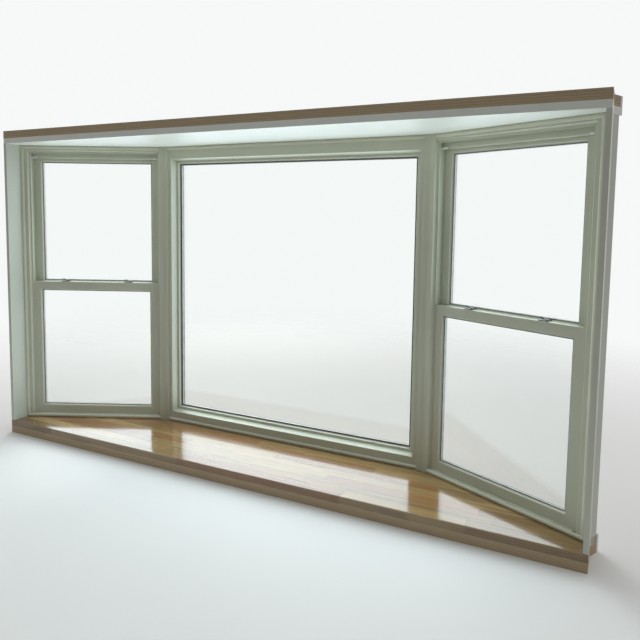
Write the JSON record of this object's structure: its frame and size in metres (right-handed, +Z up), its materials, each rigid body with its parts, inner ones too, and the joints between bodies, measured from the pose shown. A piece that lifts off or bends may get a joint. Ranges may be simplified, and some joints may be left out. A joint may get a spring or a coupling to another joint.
{
  "type": "bay window",
  "caption": "Projecting bay window: a fixed centre window between two double-hung side windows at an angle, with wooden seat, head board and jamb boards.",
  "frame": {"origin": "middle of the width, on the plane of the wall's outside face, on the underside of the seat", "axes": "+X to the right as seen from the room, +Y out of the room, +Z up"},
  "size_m": [3.0368, 0.5247, 1.66],
  "materials": {
    "seat_wood": "clear-coated strip laminate",
    "sheathing": "bare board",
    "painted_board": "painted white",
    "outside_cladding": "painted white",
    "window_plastic": "satin",
    "trim_plastic": "satin",
    "stop_plastic": "matt",
    "spacer_metal": "mill",
    "lock_metal": "satin",
    "glass": "clear"
  },
  "bodies": {
    "root": {"centre_frame_head": "window_plastic", "centre_frame_left_jamb": "window_plastic", "centre_frame_right_jamb": "window_plastic", "centre_frame_sill": "window_plastic", "centre_glass": "glass", "centre_glass_spacer": "spacer_metal", "centre_glazing_bead": "window_plastic", "head_board": "painted_board", "head_cap": "sheathing", "head_fascia": "outside_cladding", "head_trim": "trim_plastic", "jamb_trim": "trim_plastic", "left_frame_head": "window_plastic", "left_frame_left_jamb": "window_plastic", "left_frame_right_jamb": "window_plastic", "left_frame_sill": "window_plastic", "left_glass_spacers": "spacer_metal", "left_jamb_board": "painted_board", "left_lower_glass": "glass", "left_lower_sash": "window_plastic", "left_mullion_cover": "trim_plastic", "left_mullion_outer_cover": "outside_cladding", "left_mullion_post": "sheathing", "left_upper_glass": "glass", "left_upper_sash": "window_plastic", "lock_keepers": "lock_metal", "right_frame_head": "window_plastic", "right_frame_left_jamb": "window_plastic", "right_frame_right_jamb": "window_plastic", "right_frame_sill": "window_plastic", "right_glass_spacers": "spacer_metal", "right_jamb_board": "painted_board", "right_lower_glass": "glass", "right_lower_sash": "window_plastic", "right_mullion_cover": "trim_plastic", "right_mullion_outer_cover": "outside_cladding", "right_mullion_post": "sheathing", "right_upper_glass": "glass", "right_upper_sash": "window_plastic", "sash_locks": "lock_metal", "sash_stops": "stop_plastic", "seat_base": "sheathing", "seat_board": "seat_wood", "seat_fascia": "outside_cladding", "seat_trim": "trim_plastic"}
  },
  "joints": []
}
